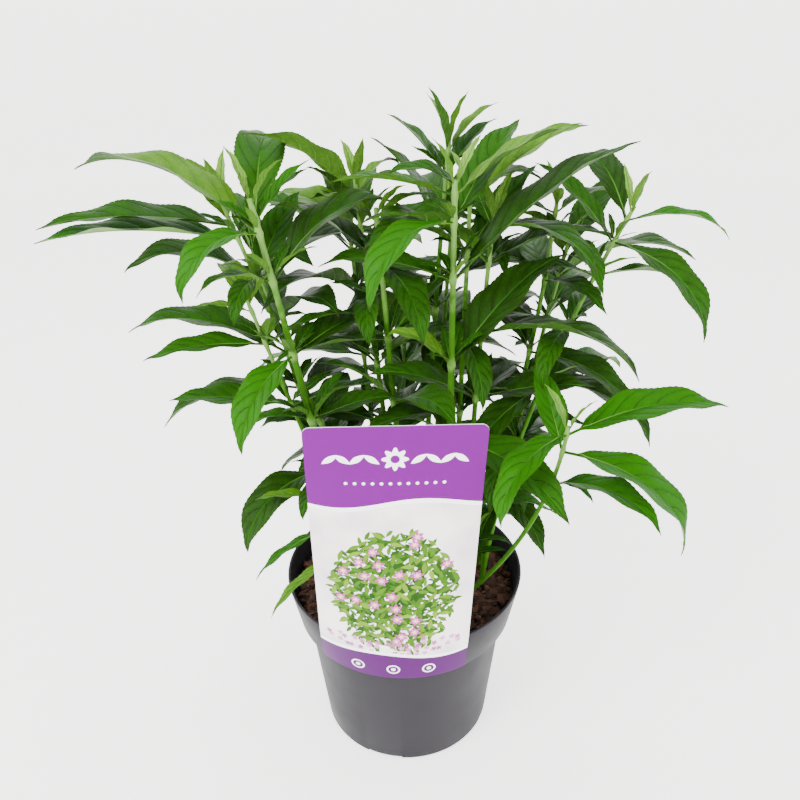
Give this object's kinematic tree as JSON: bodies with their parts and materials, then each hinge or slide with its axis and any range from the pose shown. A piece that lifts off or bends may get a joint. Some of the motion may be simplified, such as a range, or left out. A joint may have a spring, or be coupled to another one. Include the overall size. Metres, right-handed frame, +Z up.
{
  "type": "potted flowering shrub",
  "caption": "Young many-stemmed rostrinucula dependens shrub with lance-shaped leaves in crossed pairs, in a tapered nursery pot of bark compost with a picture label hooked over the rim.",
  "frame": {"origin": "centre of the pot's flat underside", "axes": "+Z up along the pot's axis, the label on the -Y side, +X to the right seen from the label"},
  "size_m": [0.4095, 0.2942, 0.4535],
  "materials": {
    "pot_plastic": "moulded polypropylene, satin",
    "bark_compost": "loose bark and peat chips, matt",
    "label_film": "printed plastic film, satin gloss",
    "stem_bark": "young green stem with a pale felt",
    "leaf_green": "leaf, satin above and felted below"
  },
  "bodies": {
    "root": {"pot": "pot_plastic", "soil": "bark_compost", "label": "label_film", "stem_front": "stem_bark", "stem_front_left": "stem_bark", "stem_left_low": "stem_bark", "stem_far_left": "stem_bark", "stem_mid_left": "stem_bark", "stem_back_left": "stem_bark", "stem_top": "stem_bark", "stem_centre": "stem_bark", "stem_centre_right": "stem_bark", "stem_back_right": "stem_bark", "stem_right": "stem_bark", "stem_low_right": "stem_bark", "stem_low_left": "stem_bark", "stem_foot_right": "stem_bark", "stem_back": "stem_bark", "stem_back_centre": "stem_bark", "stem_right_back": "stem_bark", "stem_left_back": "stem_bark", "stem_back_low": "stem_bark", "foliage_front": "leaf_green", "foliage_front_left": "leaf_green", "foliage_left_low": "leaf_green", "foliage_far_left": "leaf_green", "foliage_mid_left": "leaf_green", "foliage_back_left": "leaf_green", "foliage_top": "leaf_green", "foliage_centre": "leaf_green", "foliage_centre_right": "leaf_green", "foliage_back_right": "leaf_green", "foliage_right": "leaf_green", "foliage_low_right": "leaf_green", "foliage_low_left": "leaf_green", "foliage_foot_right": "leaf_green", "foliage_back": "leaf_green", "foliage_back_centre": "leaf_green", "foliage_right_back": "leaf_green", "foliage_left_back": "leaf_green", "foliage_back_low": "leaf_green"}
  },
  "joints": []
}
